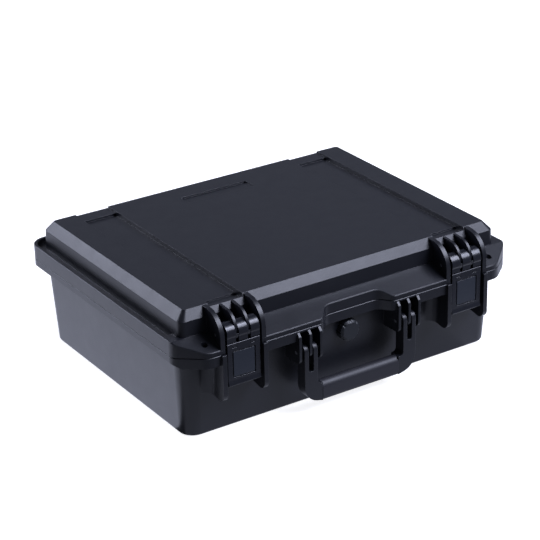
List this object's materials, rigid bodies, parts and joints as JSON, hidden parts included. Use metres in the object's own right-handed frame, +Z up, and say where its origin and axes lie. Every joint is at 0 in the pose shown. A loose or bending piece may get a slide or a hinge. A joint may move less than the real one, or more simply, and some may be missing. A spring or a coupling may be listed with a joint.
{
  "type": "hard carrying case",
  "caption": "Moulded hard carrying case with a hinged bevelled lid, double-throw latches, a folding front handle, a pressure valve, padlock holes and foam inside.",
  "frame": {"origin": "centre of the flat bottom of the base, on the surface that the case stands on", "axes": "+X along the length, to the right of someone who faces the latches; -Y out of the front with the handle; +Z up"},
  "size_m": [0.434, 0.3574, 0.1459],
  "materials": {
    "shell": "fine moulded texture, satin black",
    "latch": "smoother satin black",
    "handle": "satin black",
    "grip": "soft-touch black",
    "valve": "satin black",
    "seal": "matt black",
    "steel": "turned",
    "foam": "open-cell foam, charcoal"
  },
  "bodies": {
    "base": {"base_shell": "shell", "base_pad": "foam", "pocket_foam": "foam", "hinge_pin_left": "steel", "hinge_pin_right": "steel", "handle_pin_left": "steel", "handle_pin_right": "steel", "valve_body": "valve", "valve_seal": "seal", "valve_nut": "valve"},
    "lid": {"lid_shell": "shell", "lid_seal": "seal", "lid_foam": "foam", "latch_pin_left": "steel", "latch_pin_right": "steel"},
    "latch_left": {"latch_link_left": "latch", "lever_pin_left": "steel"},
    "lever_left": {"latch_lever_left": "latch"},
    "latch_right": {"latch_link_right": "latch", "lever_pin_right": "steel"},
    "lever_right": {"latch_lever_right": "latch"},
    "handle": {"handle_frame": "handle", "handle_grip": "grip"},
    "knob": {"valve_knob": "valve"}
  },
  "joints": [
    {"name": "lid_hinge", "type": "hinge", "parent": "base", "child": "lid", "pos_m": [0, 0.171, 0.102], "axis": [-1, 0, 0], "range_deg": [0, 105]},
    {"name": "latch_swing_left", "type": "hinge", "parent": "lid", "child": "latch_left", "pos_m": [-0.145, -0.166, 0.121], "axis": [-1, 0, 0], "range_deg": [0, 85]},
    {"name": "lever_throw_left", "type": "hinge", "parent": "latch_left", "child": "lever_left", "pos_m": [-0.145, -0.1736, 0.1075], "axis": [-1, 0, 0], "range_deg": [0, 40]},
    {"name": "latch_swing_right", "type": "hinge", "parent": "lid", "child": "latch_right", "pos_m": [0.145, -0.166, 0.121], "axis": [-1, 0, 0], "range_deg": [0, 85]},
    {"name": "lever_throw_right", "type": "hinge", "parent": "latch_right", "child": "lever_right", "pos_m": [0.145, -0.1736, 0.1075], "axis": [-1, 0, 0], "range_deg": [0, 40]},
    {"name": "handle_fold", "type": "hinge", "parent": "base", "child": "handle", "pos_m": [0, -0.1735, 0.076], "axis": [-1, 0, 0], "range_deg": [0, 90]},
    {"name": "valve_turn", "type": "hinge", "parent": "base", "child": "knob", "pos_m": [0, -0.158, 0.0735], "axis": [0, -1, 0], "range_deg": [0, 180]}
  ]
}
